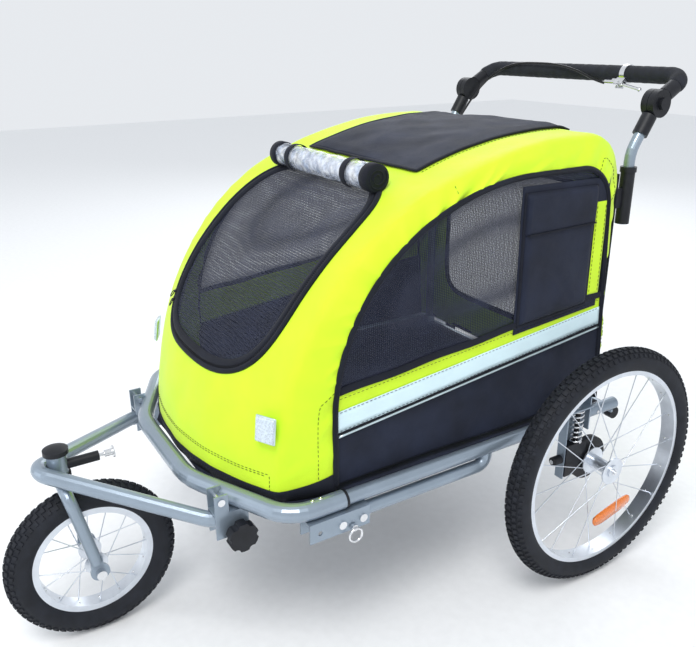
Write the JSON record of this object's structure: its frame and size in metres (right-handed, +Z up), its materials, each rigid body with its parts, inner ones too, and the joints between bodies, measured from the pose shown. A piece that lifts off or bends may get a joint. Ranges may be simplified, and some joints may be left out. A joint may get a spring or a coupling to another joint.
{
  "type": "bicycle trailer and stroller",
  "caption": "Two-wheel bicycle trailer set up as a stroller: fabric cabin with mesh windows on a tube frame, swivelling front wheel and tilting push handle.",
  "frame": {"origin": "on the floor, below the middle of the whole object's bounding box", "axes": "+X to the trailer's left side, -Y to the front (swivel wheel), +Z up"},
  "size_m": [0.841, 1.3302, 0.9952],
  "materials": {
    "frame_paint": "satin silver-blue powder coat",
    "bright_metal": "bright plated steel",
    "alloy": "silver rim alloy",
    "black_plastic": "fine moulded grain",
    "foam": "closed-cell foam",
    "tyre_rubber": "matt rubber",
    "yellow_fabric": "coated plain weave",
    "black_fabric": "coated plain weave",
    "mesh_fabric": "open knitted mesh",
    "clear_film": "crinkled clear film",
    "cable_black": "smooth cable housing",
    "reflector_clear": "prismatic",
    "reflector_orange": "prismatic",
    "reflective_tape": "retroreflective tape"
  },
  "bodies": {
    "chassis": {"front_frame_tube": "frame_paint", "side_rails": "frame_paint", "cross_tubes": "frame_paint", "frame_end_caps": "black_plastic", "floor_panel": "black_fabric", "cabin_hoops": "frame_paint", "cover_front": "yellow_fabric", "cover_roof": "yellow_fabric", "cover_sides": "yellow_fabric", "cover_rear": "yellow_fabric", "lower_panels": "black_fabric", "front_window": "mesh_fabric", "side_windows": "mesh_fabric", "rear_window": "mesh_fabric", "roof_panel": "black_fabric", "rolled_rain_cover": "clear_film", "side_pocket": "black_fabric", "front_reflectors": "reflector_clear", "hitch_bracket": "frame_paint", "receiver_tube": "frame_paint", "frame_bolts": "bright_metal", "arm_brackets": "frame_paint", "stroller_arm": "frame_paint", "head_fittings": "black_plastic", "handle_sockets": "black_plastic", "handle_uprights": "frame_paint", "handle_joint_bases": "black_plastic", "suspension_brackets": "frame_paint", "left_spring": "black_plastic", "right_spring": "black_plastic", "brake_cable_lower": "cable_black"},
    "caster": {"fork": "frame_paint", "front_axle": "bright_metal"},
    "front_wheel": {"front_tyre": "tyre_rubber", "front_rim": "alloy", "front_hub": "alloy"},
    "lock_plunger": {"lock_pin": "bright_metal"},
    "left_knob": {"left_arm_knob": "black_plastic"},
    "right_knob": {"right_arm_knob": "black_plastic"},
    "hitch_quick_pin": {"hitch_pin": "bright_metal"},
    "handle": {"handle_bar": "frame_paint", "handle_joint_heads": "black_plastic", "foam_grip": "foam", "brake_clamp": "bright_metal", "brake_cable_upper": "cable_black"},
    "lever": {"brake_lever": "bright_metal"},
    "left_button": {"left_release_button": "black_plastic"},
    "right_button": {"right_release_button": "black_plastic"},
    "left_strut": {"left_slider": "black_plastic", "left_axle": "bright_metal"},
    "right_strut": {"right_slider": "black_plastic", "right_axle": "bright_metal"},
    "left_wheel": {"left_tyre": "tyre_rubber", "left_rim": "alloy", "left_hub": "alloy"},
    "right_wheel": {"right_tyre": "tyre_rubber", "right_rim": "alloy", "right_hub": "alloy"},
    "left_quick_release": {"left_axle_button": "bright_metal"},
    "right_quick_release": {"right_axle_button": "bright_metal"}
  },
  "joints": [
    {"name": "swivel", "type": "hinge", "parent": "chassis", "child": "caster", "pos_m": [0, -0.543, 0.33], "axis": [0, 0, 1], "continuous": true},
    {"name": "front_wheel_spin", "type": "hinge", "parent": "caster", "child": "front_wheel", "pos_m": [0, -0.508, 0.155], "axis": [1, 0, 0], "continuous": true},
    {"name": "lock_plunger_slide", "type": "slide", "parent": "chassis", "child": "lock_plunger", "axis": [0, -1, 0], "range_m": [0, 0.008]},
    {"name": "left_knob_turn", "type": "hinge", "parent": "chassis", "child": "left_knob", "pos_m": [0.235, -0.312, 0.281], "axis": [1, 0, 0], "continuous": true},
    {"name": "right_knob_turn", "type": "hinge", "parent": "chassis", "child": "right_knob", "pos_m": [-0.235, -0.312, 0.281], "axis": [1, 0, 0], "continuous": true},
    {"name": "hitch_pin_pull", "type": "slide", "parent": "chassis", "child": "hitch_quick_pin", "axis": [1, 0, 0], "range_m": [0, 0.045]},
    {"name": "handle_tilt", "type": "hinge", "parent": "chassis", "child": "handle", "pos_m": [0, 0.57, 0.93], "axis": [1, 0, 0], "range_deg": [-75, 75], "deforming": ["brake_cable_upper"]},
    {"name": "brake_squeeze", "type": "hinge", "parent": "handle", "child": "lever", "pos_m": [0.137, 0.6272, 0.9573], "axis": [0, -0.6691, 0.7431], "range_deg": [0, 15], "stiffness_Nm_per_rad": 1.5, "springref_deg": -5.73},
    {"name": "left_button_press", "type": "slide", "parent": "handle", "child": "left_button", "axis": [-1, 0, 0], "range_m": [0, 0.004], "stiffness_N_per_m": 400, "springref_m": -0.001},
    {"name": "right_button_press", "type": "slide", "parent": "handle", "child": "right_button", "axis": [1, 0, 0], "range_m": [0, 0.004], "stiffness_N_per_m": 400, "springref_m": -0.001},
    {"name": "left_suspension", "type": "slide", "parent": "chassis", "child": "left_strut", "axis": [0, 0, 1], "range_m": [0, 0.018], "stiffness_N_per_m": 8000, "springref_m": -0.015, "deforming": ["left_spring"]},
    {"name": "right_suspension", "type": "slide", "parent": "chassis", "child": "right_strut", "axis": [0, 0, 1], "range_m": [0, 0.018], "stiffness_N_per_m": 8000, "springref_m": -0.015, "deforming": ["right_spring", "brake_cable_lower"]},
    {"name": "left_wheel_spin", "type": "hinge", "parent": "left_strut", "child": "left_wheel", "pos_m": [0.386, 0.405, 0.25], "axis": [1, 0, 0], "continuous": true},
    {"name": "right_wheel_spin", "type": "hinge", "parent": "right_strut", "child": "right_wheel", "pos_m": [-0.386, 0.405, 0.25], "axis": [1, 0, 0], "continuous": true},
    {"name": "left_axle_button_press", "type": "slide", "parent": "left_strut", "child": "left_quick_release", "axis": [-1, 0, 0], "range_m": [0, 0.003], "stiffness_N_per_m": 400, "springref_m": -0.001},
    {"name": "right_axle_button_press", "type": "slide", "parent": "right_strut", "child": "right_quick_release", "axis": [1, 0, 0], "range_m": [0, 0.003], "stiffness_N_per_m": 400, "springref_m": -0.001}
  ]
}
